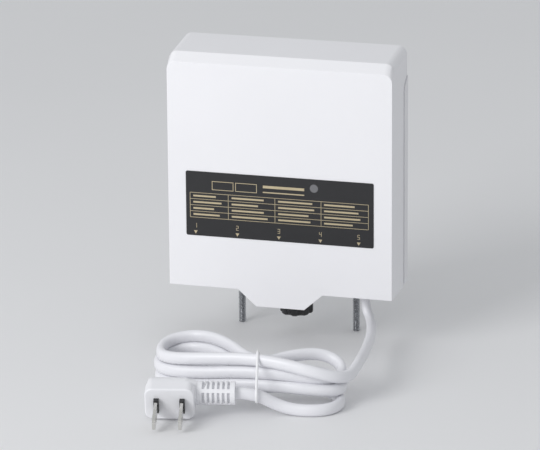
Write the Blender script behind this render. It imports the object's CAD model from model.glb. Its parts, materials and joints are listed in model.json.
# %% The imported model
import bmesh
import bpy
import json
import math
from mathutils import Matrix, Vector


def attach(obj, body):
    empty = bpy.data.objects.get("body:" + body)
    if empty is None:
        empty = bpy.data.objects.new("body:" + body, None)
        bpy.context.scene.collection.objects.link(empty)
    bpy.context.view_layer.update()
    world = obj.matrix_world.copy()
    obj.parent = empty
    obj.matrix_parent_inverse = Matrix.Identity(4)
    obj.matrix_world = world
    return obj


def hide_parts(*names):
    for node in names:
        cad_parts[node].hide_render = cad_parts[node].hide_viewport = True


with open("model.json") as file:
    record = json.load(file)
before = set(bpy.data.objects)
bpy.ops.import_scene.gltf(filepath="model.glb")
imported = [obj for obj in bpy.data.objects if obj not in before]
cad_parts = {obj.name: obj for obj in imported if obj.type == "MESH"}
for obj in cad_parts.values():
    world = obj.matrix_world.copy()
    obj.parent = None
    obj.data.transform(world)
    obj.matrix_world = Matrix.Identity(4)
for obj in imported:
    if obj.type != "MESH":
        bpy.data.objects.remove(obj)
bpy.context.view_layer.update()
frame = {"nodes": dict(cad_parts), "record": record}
nodes = frame["nodes"]
mm = 0.001
print(len(nodes), "CAD nodes")

# %% [markdown]
# The part is a white amplifier box for an aerial mast, standing on the two legs of its
# U-bolt with its mains cord tied in a hank before it. Sizes below are millimetres times mm,
# measured in the same frame as the CAD: +X right, +Y back, +Z up from the floor. The value
# front is where the face of the hood stands along Y.
# The camera comes first, because everything on the cord is judged through it. It stands two
# metres off with a long lens, a little right of the middle and above it. A camera can be
# turned with Euler angles, but here azimuth, elevation and roll become three unit vectors
# that go straight into its matrix, so the viewing angle can be read in the code.

# %% Camera
front = -23.875
image_wide, focal_pixels, sensor_wide = 540, 4006, 36
azimuth, elevation, roll = math.radians(15.592), math.radians(17.197), math.radians(-0.44)
aim, camera_distance = Vector((-5.02, front, 66.08)) * mm, 2.044
toward = Vector((
    math.sin(azimuth) * math.cos(elevation),
    -math.cos(azimuth) * math.cos(elevation),
    math.sin(elevation),
))
level = Vector((math.cos(azimuth), math.sin(azimuth), 0))
upright = toward.cross(level)
right = level * math.cos(roll) + upright * math.sin(roll)
up = upright * math.cos(roll) - level * math.sin(roll)
lens_data = bpy.data.cameras.new("view")
lens_data.sensor_width = sensor_wide
lens_data.lens = focal_pixels / image_wide * sensor_wide
lens_data.clip_end = 20
camera = bpy.data.objects.new("view", lens_data)
bpy.context.scene.collection.objects.link(camera)
camera.matrix_world = Matrix((right, up, toward)).transposed().to_4x4()
camera.location = aim + toward * camera_distance
bpy.context.scene.camera = camera
print("lens", round(lens_data.lens), "mm")

# %% [markdown]
# Shader maths is easier to read as plain arithmetic. The class Socket wraps one output of a
# node, and adding or multiplying two of them adds a Math node. Paint makes one material: its
# method add takes a node's type, its settings and what its sockets get.

# %% Shader helpers


class Socket:
    def __init__(self, paint, output):
        self.paint, self.output = paint, output

    def calc(self, operation, first, second):
        return self.paint.add("ShaderNodeMath", {"operation": operation}, {0: first, 1: second})

    def __add__(self, other):
        return self.calc("ADD", self, other)

    def __mul__(self, other):
        return self.calc("MULTIPLY", self, other)

    __radd__ = __add__
    __rmul__ = __mul__

    def over(self, edge):
        return self.calc("GREATER_THAN", self, edge)


class Paint:
    def __init__(self, name, colour, roughness, metallic=0.0, coat=0.0):
        self.material = bpy.data.materials.new(name)
        self.material.use_nodes = True
        self.tree = self.material.node_tree
        self.shader = self.tree.nodes["Principled BSDF"]
        self.put("Base Color", (*colour, 1))
        self.put("Roughness", roughness)
        self.put("Metallic", metallic)
        self.put("Coat Weight", coat)
        self.place = self.add("ShaderNodeTexCoord", {}, {}, "Object")

    def feed(self, socket, value):
        if isinstance(value, Socket):
            self.tree.links.new(value.output, socket)
        else:
            socket.default_value = value

    def put(self, name, value):
        self.feed(self.shader.inputs[name], value)

    def add(self, kind, settings, inputs, output=0):
        node = self.tree.nodes.new(kind)
        for key, value in settings.items():
            setattr(node, key, value)
        for key, value in inputs.items():
            self.feed(node.inputs[key], value)
        return Socket(self, node.outputs[output])

    def noise(self, size, detail=3.0, stretch=(1, 1, 1)):
        """Noise whose blobs are about this many metres across, from 0 to 1."""
        where = self.add("ShaderNodeMapping", {}, {"Vector": self.place, "Scale": stretch})
        wanted = {"Vector": where, "Scale": 1 / size, "Detail": detail}
        return self.add("ShaderNodeTexNoise", {}, wanted)

    def blend(self, mask, first, second):
        """Colour that goes from first to second as the mask goes from 0 to 1."""
        wanted = {0: mask, 6: (*first, 1), 7: (*second, 1)}
        return self.add("ShaderNodeMix", {"data_type": "RGBA"}, wanted, 2)

    def relief(self, height, depth):
        wanted = {"Height": height, "Distance": depth, "Strength": 1.0}
        self.put("Normal", self.add("ShaderNodeBump", {}, wanted))


def darker(colour, share):
    return tuple(part * share for part in colour)


# %% [markdown]
# Moulded plastic is never one flat colour. A slow noise shifts its shade by a few percent, a
# second one moves its roughness where hands have polished it, and a fine one gives the skin
# the grain of the mould.

# %% Plastics
shade_size, polish_size = 0.045, 0.012
shade_share, polish_swing = 0.955, 0.14


def moulded(name, colour, roughness, grain=0.0004, depth=0.00002, coat=0.0):
    paint = Paint(name, colour, roughness, coat=coat)
    cloud = paint.noise(shade_size)
    paint.put("Base Color", paint.blend(cloud, darker(colour, shade_share), colour))
    polish = paint.noise(polish_size) * polish_swing
    paint.put("Roughness", polish + (roughness - polish_swing / 2))
    paint.relief(paint.noise(grain, 2.0), depth)
    return paint


white_moulding = moulded("white_moulding", (0.845, 0.842, 0.868), 0.42)
white_tray = moulded("white_tray", (0.80, 0.797, 0.822), 0.47)
black_moulding = moulded("black_moulding", (0.018, 0.018, 0.02), 0.4, depth=0.00004)
grey_moulding = moulded("grey_moulding", (0.27, 0.27, 0.29), 0.45)
vinyl = moulded("cord_vinyl", (0.80, 0.80, 0.835), 0.36, grain=0.0012, depth=0.00003)
plug_vinyl = moulded("plug_vinyl", (0.83, 0.83, 0.86), 0.38, grain=0.0008)
tie_vinyl = moulded("tie_vinyl", (0.86, 0.86, 0.88), 0.3)
label_film = moulded("label_film", (0.012, 0.012, 0.014), 0.55, grain=0.0003)
print(len(bpy.data.materials), "materials with the plastics")

# %% [markdown]
# Metals take their colour from what they reflect. Zinc plate has soft cloudy patches, drawn
# sheet has fine lines in one direction, and nickel is nearly a mirror. Each one is metallic
# with an uneven roughness.

# %% Metals
patch_size, scratch_size, relief_size = 0.008, 0.002, 0.0009
patch_share, scratch_swing, scratch_base = 0.86, 0.22, 0.1


def plated(name, colour, roughness, stretch=(1, 1, 1), depth=0.00001):
    paint = Paint(name, colour, roughness, metallic=1.0)
    cloud = paint.noise(patch_size)
    paint.put("Base Color", paint.blend(cloud, darker(colour, patch_share), colour))
    scratches = paint.noise(scratch_size, 4.0, stretch) * scratch_swing
    paint.put("Roughness", scratches + (roughness - scratch_base))
    paint.relief(paint.noise(relief_size, 4.0, stretch), depth)
    return paint


zinc = plated("zinc_plate", (0.70, 0.71, 0.73), 0.3)
bolt_steel = plated("bolt_steel", (0.46, 0.47, 0.49), 0.26)
sheet_metal = plated("drawn_sheet", (0.64, 0.64, 0.65), 0.36, stretch=(0.05, 1, 1))
bright_tin = plated("bright_tin", (0.74, 0.74, 0.74), 0.24, stretch=(1, 1, 0.05))
nickel = plated("nickel", (0.73, 0.71, 0.67), 0.22)
blade_metal = plated("blade_metal", (0.76, 0.75, 0.72), 0.22, stretch=(0.1, 1, 1))
gold_ink = plated("gold_ink", (0.62, 0.53, 0.36), 0.42)
print(len(bpy.data.materials), "materials with the metals")

# %% [markdown]
# The board, the transformer, the capacitor and the lamp are only seen with the hood open.
# The board's green mask lets its copper shine through in patches, and the core of the
# transformer shows its laminations as fine dark lines.

# %% Electronics finishes
patches_a_metre, copper_edge = 160.0, 0.42
layers_a_metre = 480.0
solder_mask = Paint("solder_mask", (0.01, 0.11, 0.04), 0.33, coat=0.4)
copper = solder_mask.add(
    "ShaderNodeTexVoronoi", {"distance": "MANHATTAN"},
    {"Vector": solder_mask.place, "Scale": patches_a_metre},
).over(copper_edge)
board_colours = solder_mask.blend(copper, (0.01, 0.10, 0.035), (0.03, 0.17, 0.06))
solder_mask.put("Base Color", board_colours)
solder_mask.relief(copper, 0.00004)
core_iron = Paint("core_iron", (0.05, 0.05, 0.055), 0.45, metallic=0.6)
layers = core_iron.add(
    "ShaderNodeTexWave", {"bands_direction": "Y"},
    {"Vector": core_iron.place, "Scale": layers_a_metre},
)
core_iron.put("Base Color", core_iron.blend(layers, (0.02, 0.02, 0.022), (0.09, 0.085, 0.08)))
core_iron.relief(layers, 0.00008)
sleeve_film = moulded("sleeve_film", (0.015, 0.03, 0.10), 0.25, coat=0.3)
lamp_red = moulded("lamp_red", (0.5, 0.03, 0.02), 0.2, coat=0.5)
clear_lens = moulded("clear_lens", (0.15, 0.15, 0.16), 0.2, coat=0.4)
print(len(bpy.data.materials), "materials with the electronics")

# %% [markdown]
# The floor is plain and pale, and large enough that its edge is out of sight. One big lamp
# stands in front on the left, which makes the face of the hood and its roof the bright sides,
# and its right side darker. The world fills the shadows.

# %% Floor and light
lit_point = Vector((0, -0.03, 0.07))
bpy.ops.object.select_all(action="DESELECT")
bpy.ops.mesh.primitive_plane_add(size=8)
floor = bpy.context.object
floor.name = "floor"
floor_paint = Paint("pale_floor", (0.82, 0.82, 0.83), 0.6)
floor_cloud = floor_paint.noise(0.3)
floor_paint.put(
    "Base Color", floor_paint.blend(floor_cloud, (0.80, 0.80, 0.81), (0.84, 0.84, 0.85)))
floor.data.materials.append(floor_paint.material)


def soft_lamp(name, place, size, power):
    data = bpy.data.lights.new(name, "AREA")
    data.size, data.energy = size, power
    lamp = bpy.data.objects.new(name, data)
    bpy.context.scene.collection.objects.link(lamp)
    lamp.location = place
    lamp.rotation_euler = (lit_point - lamp.location).to_track_quat("-Z", "Y").to_euler()
    print(name, "lamp", power, "W")


soft_lamp("key", place=Vector((-0.75, -1.35, 0.75)), size=0.8, power=14.4)
world = bpy.data.worlds.new("studio")
bpy.context.scene.world = world
world.use_nodes = True
background = world.node_tree.nodes["Background"]
background.inputs["Color"].default_value = (0.96, 0.98, 1.0, 1)
background.inputs["Strength"].default_value = 0.6
bpy.context.scene.view_settings.view_transform = "Standard"

# %% [markdown]
# Every piece goes through the same last steps, so they are helpers. settled turns the mesh
# being built into an object, finish_mesh smooths it except at its edges, and dress gives it
# its material, the body that it rides on, its slot and the CAD nodes that it stands for.

# %% Helpers for every piece
body_of = {}
for body, names in frame["record"]["behaviour"]["bodies"].items():
    for name in names:
        body_of[name] = body


def settled(shape, name):
    """The bmesh as an object of its own, in the frame's metres."""
    mesh = bpy.data.meshes.new(name)
    shape.to_mesh(mesh)
    shape.free()
    piece = bpy.data.objects.new(name, mesh)
    bpy.context.scene.collection.objects.link(piece)
    return piece


def show(piece):
    bpy.ops.object.select_all(action="DESELECT")
    bpy.context.view_layer.objects.active = piece
    piece.select_set(True)


def finish_mesh(piece, angle=35):
    show(piece)
    bpy.ops.object.shade_smooth_by_angle(angle=math.radians(angle))


def dress(piece, paint, body, slot, *replaced):
    piece.data.materials.clear()
    piece.data.materials.append(paint.material)
    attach(piece, body)
    if replaced:
        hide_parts(*replaced)
    return piece


# %% [markdown]
# Many CAD nodes already have the right shape and only need their finish. The visible
# mouldings need one thing more: their edges are rounded a little, because a real mould has no
# knife edges and the rounded edge is what catches the light. A copy of the CAD mesh is
# joined up, its flat faces are cleared of needless edges, and a Bevel modifier rounds it. A
# Weighted Normal modifier then keeps the large flat faces flat in the light.

# %% Mouldings and metal pieces
weld, flat_angle, edge_angle = 0.002 * mm, math.radians(0.3), math.radians(32)


def joined(name):
    """A copy of a CAD node's triangles, merged and with whole flat faces."""
    shape = bmesh.new()
    shape.from_mesh(nodes[name].data)
    bmesh.ops.remove_doubles(shape, verts=shape.verts, dist=weld)
    bmesh.ops.dissolve_limit(
        shape, angle_limit=flat_angle, verts=shape.verts, edges=shape.edges)
    return shape


def softened(name, paint, slot, width, steps=2):
    piece = settled(joined(name), name + "_moulded")
    show(piece)
    bevel = piece.modifiers.new("edge", "BEVEL")
    bevel.width, bevel.segments = width, steps
    bevel.limit_method, bevel.angle_limit = "ANGLE", edge_angle
    bevel.use_clamp_overlap = True
    bpy.ops.object.modifier_apply(modifier="edge")
    finish_mesh(piece)
    weighted = piece.modifiers.new("shading", "WEIGHTED_NORMAL")
    weighted.keep_sharp = True
    bpy.ops.object.modifier_apply(modifier="shading")
    print(piece.name, len(piece.data.polygons), "faces")
    return dress(piece, paint, body_of[name], slot, name)


softened("front_cover", white_moulding, "white_plastic", 0.45 * mm)
softened("rear_housing", white_tray, "white_plastic", 0.3 * mm)
softened("cover_lock_knob", black_moulding, "black_plastic", 0.3 * mm)
softened("mast_bracket", zinc, "zinc_steel", 0.2 * mm)

# %% [markdown]
# The label is a thin film on the face of the hood, cut with round corners. Its CAD plate has
# square ones, and the window's round hole has short edges of its own. So the four corners are
# found by their place: edges that run straight through the film, out at its two ends.

# %% Label film
label_end, cut_radius = 49 * mm, 0.9 * mm
film = joined("label_plate")
corners = []
for edge in film.edges:
    start, end = (vert.co for vert in edge.verts)
    run, middle = start - end, (start + end) / 2
    if abs(run.y) > abs(run.x) + abs(run.z) and abs(middle.x) > label_end:
        corners.append(edge)
bmesh.ops.bevel(
    film, geom=corners, offset=cut_radius, segments=5, profile=0.5, affect="EDGES")
label = settled(film, "label_film")
finish_mesh(label)
dress(label, label_film, "cover", "label_charcoal", "label_plate")
print("label corners", len(corners))

# %% [markdown]
# The other nodes keep their CAD mesh. Each gets the finish of what it is made of: sheet and
# tin for the case and its shield, nickel for the sockets, zinc for all that clamps or screws.

# %% Finishes of the plain nodes


def carry(paint, *names):
    for name in names:
        nodes[name].data.materials.clear()
        nodes[name].data.materials.append(paint.material)


carry(clear_lens, "led_window")
carry(sheet_metal, "amplifier_case", "case_lid")
carry(bright_tin, "tuner_shield")
carry(solder_mask, "circuit_board")
carry(core_iron, "power_transformer")
carry(sleeve_film, "filter_capacitor")
carry(lamp_red, "power_led")
carry(grey_moulding, "vhf_gain_pot", "uhf_gain_pot", "vhf_gain_knob", "uhf_gain_knob")
carry(grey_moulding, "range_switch")
carry(black_moulding, "range_slider", "blade_sleeves")
carry(nickel, "f_connector_1", "f_connector_2", "f_connector_3", "f_connector_4")
carry(zinc, "u_bolt_nuts", "u_bolt_washers", "bracket_screws", "case_screws", "lid_screws")
carry(zinc, "earth_screw", "lock_washer", "lock_screw")
carry(white_tray, "cord_gland")
carry(blade_metal, "plug_blades")
print("bare nodes", [name for name, node in nodes.items() if not node.data.materials])

# %% [markdown]
# The label carries a table printed in gold. Its lines and entries are all plain bars, so a
# bar is the only mark that it needs, and each is noted first and drawn later. Marks are
# measured in millimetres from the middle of the hood and up from its foot, which stands
# leg_drop above the floor.

# %% The printed table
leg_drop = 30.3
rows = (50.3, 47.0, 43.7, 40.45, 37.15)
columns = (-47.3, -27.0, -2.3, 22.0, 46.8)
hair_line = 0.12
marks = []


def bar(x0, x1, low, high):
    marks.append((x0, x1, low, high))


for row in rows:
    bar(columns[0], columns[-1], row - hair_line, row + hair_line)
for column in columns:
    bar(column - hair_line, column + hair_line, rows[-1], rows[0])
entry_starts, entry_top, entry_foot = (-45.6, -25.2, -0.6, 23.6), 1.2, 2.1
entries = ((12, 17, 18, 16), (15, 14, 19, 18), (11, 17, 16, 19), (14, 19, 17, 15))
for row, lengths in zip(rows, entries):
    for left, length in zip(entry_starts, lengths):
        bar(left, left + length, row - entry_foot, row - entry_top)
frame_wide, frame_line, frame_low, frame_high = 11.4, 0.3, 52.3, 57.0
for left in (-35.6, -23.2):
    end = left + frame_wide
    bar(left, end, frame_high - frame_line, frame_high)
    bar(left, end, frame_low, frame_low + frame_line)
    bar(left, left + frame_line, frame_low + frame_line, frame_high - frame_line)
    bar(end - frame_line, end, frame_low + frame_line, frame_high - frame_line)
heading_left, heading_right = -8.6, 13.2
bar(heading_left, heading_right, 55.2, 56.6)
bar(heading_left, heading_right, 52.7, 53.3)
print("table", len(marks), "bars")

# %% [markdown]
# Five arrows under the table point down at the sockets and the cord, and plain numbers stand
# over them. A number is drawn as on a clock display: seven short bars, of which each digit
# lights its own.

# %% Numbers over the arrows
arrows = (-44.5, -22.3, -0.3, 21.6, 41.7)
digit_foot, digit_wide, digit_tall, waist, stroke = 31.6, 1.3, 2.45, 1.1, 0.25
segments = {
    "top": (0, digit_wide, digit_tall - stroke, digit_tall),
    "middle": (0, digit_wide, waist, waist + stroke),
    "foot": (0, digit_wide, 0, stroke),
    "high_left": (0, stroke, waist, digit_tall),
    "low_left": (0, stroke, 0, waist + stroke),
    "high_right": (digit_wide - stroke, digit_wide, waist, digit_tall),
    "low_right": (digit_wide - stroke, digit_wide, 0, waist + stroke),
}
digits = (
    ("high_right", "low_right"),
    ("top", "high_right", "middle", "low_left", "foot"),
    ("top", "high_right", "middle", "low_right", "foot"),
    ("high_left", "high_right", "middle", "low_right"),
    ("top", "high_left", "middle", "low_right", "foot"),
)
for arrow, digit in zip(arrows, digits):
    left = arrow - digit_wide / 2
    for segment in digit:
        x0, x1, low, high = segments[segment]
        bar(left + x0, left + x1, digit_foot + low, digit_foot + high)
print("marks", len(marks))

# %% [markdown]
# Ink has a little body, so each mark is a thin slab. One mesh holds them all: a plane is
# added and scaled for each bar and a triangle for each arrow, all on the face of the film,
# and one extrude pushes them out of it together.

# %% Gold print
film_face, ink_thick = front - 0.25, 0.03
arrow_height, arrow_radius = 29.5, 1.15
bpy.ops.object.select_all(action="DESELECT")
bpy.ops.mesh.primitive_plane_add(size=1 * mm)
gold_print = bpy.context.object
gold_print.name = "gold_print"
bpy.ops.object.mode_set(mode="EDIT")
bpy.ops.mesh.delete(type="VERT")
for x0, x1, low, high in marks:
    bpy.ops.mesh.primitive_plane_add(size=1, rotation=(math.radians(90), 0, 0))
    bpy.ops.transform.resize(value=((x1 - x0) * mm, 1, (high - low) * mm))
    height = leg_drop + (low + high) / 2
    bpy.ops.transform.translate(value=((x0 + x1) / 2 * mm, film_face * mm, height * mm))
for arrow in arrows:
    bpy.ops.mesh.primitive_circle_add(
        vertices=3, radius=arrow_radius * mm, fill_type="NGON",
        rotation=(math.radians(90), math.radians(180), 0))
    height = leg_drop + arrow_height
    bpy.ops.transform.translate(value=(arrow * mm, film_face * mm, height * mm))
bpy.ops.mesh.select_all(action="SELECT")
bpy.ops.mesh.extrude_region_move(TRANSFORM_OT_translate={"value": (0, -ink_thick * mm, 0)})
bpy.ops.mesh.select_all(action="SELECT")
bpy.ops.mesh.normals_make_consistent(inside=False)
bpy.ops.object.mode_set(mode="OBJECT")
dress(gold_print, gold_ink, "cover", "label_charcoal")
print("print", len(gold_print.data.polygons), "faces")

# %% [markdown]
# The cord is a flat oval flex, about six millimetres wide and four and a half thick. Its line
# is one NURBS spline: down from the bush, forward under the hood, up into the hank, three
# turns of the hank that fan out at both ends, and out to the plug. The turns are tied at the
# waist, so every loop meets its neighbours there and its two ends are free to differ.

# %% The line of the cord


def at(x, distance, height):
    """A point in millimetres, its distance counted back from the hood's face, in metres."""
    return Vector((x, front + distance, height)) * mm


lead_line = [
    at(41.3, 14.0, 31.9), at(41.3, 14.0, 22.0), at(46.0, 9.5, 15.4), at(49.2, -4.0, 12.8),
    at(51.2, -18.0, 12.8), at(53.4, -33.0, 14.2), at(55.2, -47.0, 15.6), at(56.4, -58.4, 16.8),
    at(56.8, -68.5, 16.4), at(56.0, -77.4, 15.8), at(51.4, -85.0, 17.6), at(42.0, -89.4, 20.8),
    at(31.0, -89.6, 23.0),
]
top_turn = [
    at(17.0, -88.4, 24.4), at(4.0, -87.0, 24.0), at(-14.0, -85.4, 22.0), at(-31.4, -82.0, 19.4),
    at(-39.6, -77.6, 18.6), at(-42.8, -71.0, 19.4), at(-42.0, -63.6, 20.8), at(-37.0, -58.4, 22.2),
    at(-28.6, -56.0, 23.2), at(-18.0, -58.6, 23.8), at(-6.0, -67.6, 23.2), at(3.4, -77.0, 21.6),
    at(14.0, -79.6, 20.2), at(25.0, -71.4, 22.0), at(36.0, -65.4, 22.4), at(45.0, -64.6, 20.4),
    at(50.9, -68.8, 17.2), at(50.8, -76.0, 14.6), at(46.2, -81.4, 14.6), at(38.6, -85.0, 16.2),
]
middle_turn = [
    at(28.0, -86.8, 17.4), at(14.0, -88.0, 17.8), at(0.0, -86.8, 16.8), at(-16.0, -84.6, 14.2),
    at(-32.6, -81.6, 12.6), at(-41.0, -77.0, 12.2), at(-44.4, -70.2, 13.0), at(-43.0, -62.8, 14.6),
    at(-37.0, -58.0, 16.2), at(-27.8, -56.4, 17.2), at(-16.6, -60.8, 17.6), at(-5.0, -70.0, 16.8),
    at(4.6, -78.4, 15.2), at(14.6, -79.8, 13.8), at(26.0, -71.8, 13.8), at(36.6, -67.0, 13.2),
    at(46.0, -66.8, 11.2), at(52.0, -71.2, 9.8), at(52.8, -78.2, 9.4), at(48.0, -84.0, 9.8),
    at(39.6, -87.0, 10.8),
]
bottom_turn = [
    at(25.0, -87.6, 11.4), at(11.0, -87.8, 11.4), at(-4.0, -86.6, 9.8), at(-19.0, -84.4, 7.4),
    at(-34.0, -81.4, 6.2), at(-41.6, -76.4, 6.0), at(-43.8, -69.2, 6.8), at(-41.0, -62.2, 8.6),
    at(-33.6, -58.8, 10.6), at(-23.6, -59.8, 11.6), at(-12.4, -66.4, 11.4), at(-2.0, -74.6, 9.8),
    at(7.0, -80.4, 7.8), at(17.6, -78.0, 7.0), at(27.6, -72.4, 7.4), at(37.6, -69.0, 6.4),
    at(46.4, -70.0, 3.8), at(52.0, -75.8, 3.1), at(53.2, -84.0, 3.1), at(50.0, -91.4, 3.1),
    at(43.0, -95.6, 3.1),
]
tail_line = [
    at(33.0, -96.4, 3.1), at(24.4, -97.6, 5.6), at(15.1, -102.7, 12.2), at(6.0, -104.6, 12.2),
]


def smooth_line(name, points):
    """Points along the smooth NURBS line that these control points draw."""
    data = bpy.data.curves.new(name, "CURVE")
    data.dimensions = "3D"
    spline = data.splines.new("NURBS")
    spline.points.add(len(points) - 1)
    for point, place in zip(spline.points, points):
        point.co = (*place, 1)
    spline.order_u = 3
    spline.use_endpoint_u = True
    spline.resolution_u = 10
    guide = bpy.data.objects.new(name, data)
    bpy.context.scene.collection.objects.link(guide)
    mesh = bpy.data.meshes.new_from_object(guide)
    line = [vertex.co.copy() for vertex in mesh.vertices]
    bpy.data.objects.remove(guide)
    bpy.data.meshes.remove(mesh)
    return line


def run_length(path):
    return sum((after - before).length for before, after in zip(path, path[1:]))


turns = top_turn + middle_turn + bottom_turn
cord_path = smooth_line("cord_guide", lead_line + turns + tail_line)
print("cord", round(run_length(cord_path), 3), "m,", len(cord_path), "rings")

# %% [markdown]
# A section is carried along a line ring by ring, for the cord here and for threads further
# on. At each ring, outline says how far every corner lies along the two directions square to
# the line. These directions are turned as little as possible from one ring to the next, as
# real flex does. The cord's wide side starts front to back at the bush and has a weak pull
# towards upright, so that the strands lie against each other.

# %% The cord itself


def swept(name, path, side, corners, outline, smooth, pull=0.0):
    shape = bmesh.new()
    rings = []
    broad, travelled, last = Vector(side), 0, len(path) - 1
    for index, place in enumerate(path):
        if index:
            travelled += (place - path[index - 1]).length
        ahead = (path[min(index + 1, last)] - path[max(index - 1, 0)]).normalized()
        rise = pull if broad.z >= 0 else -pull
        broad = broad + Vector((0, 0, rise)) * (1 - abs(ahead.z))
        broad = (broad - ahead * broad.dot(ahead)).normalized()
        narrow = ahead.cross(broad)
        ring = []
        for corner in range(corners):
            wide, thick = outline(travelled, 2 * math.pi * corner / corners)
            ring.append(shape.verts.new(place + broad * wide + narrow * thick))
        rings.append(ring)
    for first, second in zip(rings, rings[1:]):
        for corner in range(corners):
            after = (corner + 1) % corners
            shape.faces.new((first[corner], first[after], second[after], second[corner]))
    shape.faces.new(list(reversed(rings[0])))
    shape.faces.new(rings[-1])
    bmesh.ops.recalc_face_normals(shape, faces=shape.faces)
    piece = settled(shape, name)
    finish_mesh(piece, smooth)
    print(name, len(rings), "rings")
    return piece


flex_wide, flex_thick, squareness = 6.1 * mm, 4.6 * mm, 2.4


def flex(travelled, angle):
    """An oval that is a little squarer than an ellipse, the same all along the cord."""
    across, over = math.cos(angle), math.sin(angle)
    out = (abs(across) ** squareness + abs(over) ** squareness) ** (-1 / squareness)
    return flex_wide / 2 * out * across, flex_thick / 2 * out * over


power_cord = swept("power_cord", cord_path, (0, 1, 0), 18, flex, smooth=60, pull=0.06)
dress(power_cord, vinyl, "housing", "white_cord",
      "power_cord_lead", "power_cord_hank", "power_cord_tail")

# %% [markdown]
# The tie and the plug are soft vinyl mouldings, so their edges are rounder than those of the
# hood. With them in place the cord can be declared: where it leaves the box, how long and how
# thick it is, and which pieces sit on it.

# %% Tie and plug
softened("cord_tie", tie_vinyl, "white_tie", 0.1 * mm)
softened("plug_body", plug_vinyl, "white_cord", 0.5 * mm, steps=3)
softened("plug_strain_relief", plug_vinyl, "white_cord", 0.25 * mm)

# %% [markdown]
# Both legs of the U-bolt are threaded for most of their length. A bar is drawn along the whole
# bolt, and on its threaded stretches the radius follows the angle and the distance together,
# which turns a plain groove into a screw thread: 0.7 millimetres a turn, as on any 4 mm bolt.

# %% Thread of the U-bolt
half_span, bar_radius, bend_foot, leg_back = 30.85, 2.0, 83.3, 37.5
thread_top, pitch, thread_depth, tip_edge, run_out = 58.0, 0.7, 0.42, 0.4, 1
floor_gap, turn_steps, bend_steps, flank = 0.02, 8, 32, 1.6
step_count = int(thread_top / pitch * turn_steps)
leg_up = [floor_gap + step * pitch / turn_steps for step in range(step_count)]
leg_up += [thread_top + run_out, bend_foot - run_out]
bolt_path = [at(-half_span, leg_back, height) for height in leg_up]
for step in range(bend_steps + 1):
    turn = math.pi * step / bend_steps
    over_bend = bend_foot + half_span * math.sin(turn)
    bolt_path.append(at(-half_span * math.cos(turn), leg_back, over_bend))
bolt_path += [at(half_span, leg_back, height) for height in reversed(leg_up)]
bolt_length = run_length(bolt_path) / mm


def bolt_radius(travelled, angle):
    """Full radius over the bend, a groove on the legs and a small edge at their tips."""
    from_tip = min(travelled, bolt_length - travelled)
    if from_tip > thread_top:
        return bar_radius
    phase = (travelled / pitch - angle / (2 * math.pi)) % 1
    grooved = bar_radius - thread_depth * min(1, flank * (1 - abs(2 * phase - 1)))
    return min(grooved, bar_radius - tip_edge + from_tip)


def threaded(travelled, angle):
    radius = bolt_radius(travelled / mm, angle) * mm
    return radius * math.cos(angle), radius * math.sin(angle)


u_bolt = swept("u_bolt_threaded", bolt_path, (1, 0, 0), 20, threaded, smooth=50)
dress(u_bolt, bolt_steel, "housing", "zinc_steel", "u_bolt")

# %% [markdown]
# The sockets are threaded as well. Here no groove is cut: a thin wire is wound round each
# barrel and sunk into it, and the crest that stands out is the ridge of the thread.

# %% Threads of the sockets
port_radius, port_depth, thread_foot, thread_turns = 4.7, 14.5, 39.4, 11
socket_pitch, wire, sunk, coil_steps = 0.79, 0.24, 0.12, 18


def ridge(travelled, angle):
    return wire * mm * math.cos(angle), wire * mm * math.sin(angle)


for number, socket_x in enumerate(arrows[:4], 1):
    coil = []
    for step in range(thread_turns * coil_steps + 1):
        turn = 2 * math.pi * step / coil_steps
        aside = (port_radius - sunk) * math.cos(turn)
        behind = (port_radius - sunk) * math.sin(turn)
        height = thread_foot + socket_pitch * step / coil_steps
        coil.append(at(socket_x + aside, port_depth + behind, height))
    thread = swept("port_thread_%d" % number, coil, (0, 0, 1), 6, ridge, smooth=50)
    dress(thread, nickel, "housing", "nickel")

# %% [markdown]
# Screw heads need their cross. Its place is found on the CAD meshes themselves. They come
# face by face, so a screw falls into loose shells, the faces of its head and of its shank,
# and a cross of two thin dark blocks is laid on the outermost plane of each shell. The cross
# on the face of the head shows, and those further in are hidden by the metal.

# %% Cross recesses


def shells(node):
    """The loose shells of a node's mesh, each as a list of its points."""
    shape = bmesh.new()
    shape.from_mesh(node.data)
    seen, found = set(), []
    for start in shape.verts:
        if start in seen:
            continue
        seen.add(start)
        group = [start]
        for vert in group:
            for link in vert.link_edges:
                other = link.other_vert(vert)
                if other not in seen:
                    seen.add(other)
                    group.append(other)
        found.append([vert.co.copy() for vert in group])
    shape.free()
    return found


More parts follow.
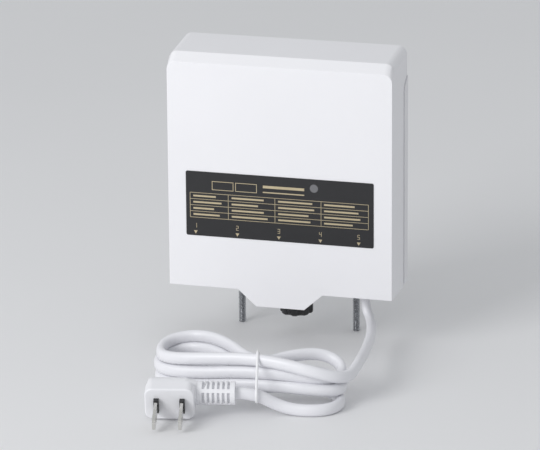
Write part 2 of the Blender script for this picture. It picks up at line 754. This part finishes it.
def laid_block(shape, centre, tall_way, half_wide, half_tall, half_thick):
    """A thin block on a face that looks along Y, with its tall side along tall_way."""
    wide_way = Vector((tall_way.z, 0, -tall_way.x))
    for vert in bmesh.ops.create_cube(shape, size=2)["verts"]:
        wide, thick, tall = vert.co
        vert.co = centre + wide_way * wide * half_wide + tall_way * tall * half_tall
        vert.co.y = centre.y + thick * half_thick


recess_dark = Paint("recess_dark", (0.05, 0.05, 0.055), 0.5, metallic=0.8)
recess_cloud = recess_dark.noise(0.001)
recess_colours = recess_dark.blend(recess_cloud, (0.03, 0.03, 0.03), (0.08, 0.08, 0.085))
recess_dark.put("Base Color", recess_colours)
slot_half, slot_thick = 0.3 * mm, 0.04 * mm
for name, side, arm in (
    ("case_screws", -1, 1.5 * mm), ("lid_screws", -1, 1.25 * mm), ("bracket_screws", 1, 2 * mm),
):
    shape = bmesh.new()
    for group in shells(nodes[name]):
        low = Vector([min(place[axis] for place in group) for axis in range(3)])
        high = Vector([max(place[axis] for place in group) for axis in range(3)])
        centre = (low + high) / 2
        centre.y = high.y if side > 0 else low.y
        for wide, tall in ((arm, slot_half), (slot_half, arm)):
            laid_block(shape, centre, Vector((0, 0, 1)), wide, tall, slot_thick)
    cross = settled(shape, name + "_cross")
    dress(cross, recess_dark, "housing", "zinc_steel")
    print(cross.name, len(cross.data.polygons), "faces")

# %% [markdown]
# Each level control turns through 270 degrees, so eleven ticks stand round its knob on the
# lid. A tick is a thin block that is turned to its angle and laid on the sheet's face.

# %% Ticks round the level controls
lid_face = min(vertex.co.y for vertex in nodes["case_lid"].data.vertices)
knob_places, knob_height, tick_ring = (-34.0, -12.0), 122.3, 8.4
tick_wide, tick_long, tick_thick = 0.14 * mm, 0.7 * mm, 0.03 * mm
shape = bmesh.new()
for knob_x in knob_places:
    knob_centre = Vector((knob_x, 0, knob_height)) * mm
    for turned in range(-135, 136, 27):
        angle = math.radians(turned)
        away = Vector((math.sin(angle), 0, math.cos(angle)))
        centre = knob_centre + away * tick_ring * mm
        centre.y = lid_face
        laid_block(shape, centre, away, tick_wide, tick_long, tick_thick)
ticks = settled(shape, "level_ticks")
dress(ticks, recess_dark, "housing", "sheet_steel")
print("ticks", len(ticks.data.polygons), "faces")
